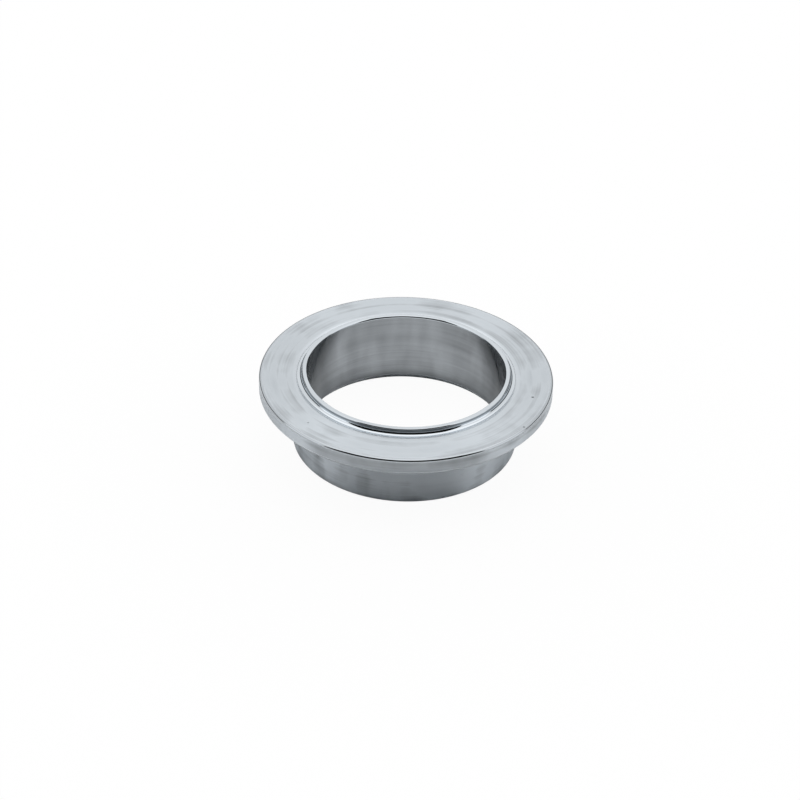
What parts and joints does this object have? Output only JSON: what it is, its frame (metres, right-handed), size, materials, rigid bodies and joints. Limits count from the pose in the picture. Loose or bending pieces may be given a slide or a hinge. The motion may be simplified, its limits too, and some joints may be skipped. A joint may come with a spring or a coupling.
{
  "type": "v-band flange",
  "caption": "Turned weld flange for a V-band joint: flat disc with a 20 degree back bevel for the clamp, a short neck to weld to a pipe, and a low lip round the bore.",
  "frame": {"origin": "centre of the weld end, at the foot of the neck", "axes": "+Z along the bore, from the weld end towards the mating face"},
  "size_m": [0.0624, 0.0624, 0.017],
  "materials": {
    "turned_stainless_steel": "fine-turned, with faint rings from the tool"
  },
  "bodies": {
    "root": {"flange": "turned_stainless_steel"}
  },
  "joints": []
}
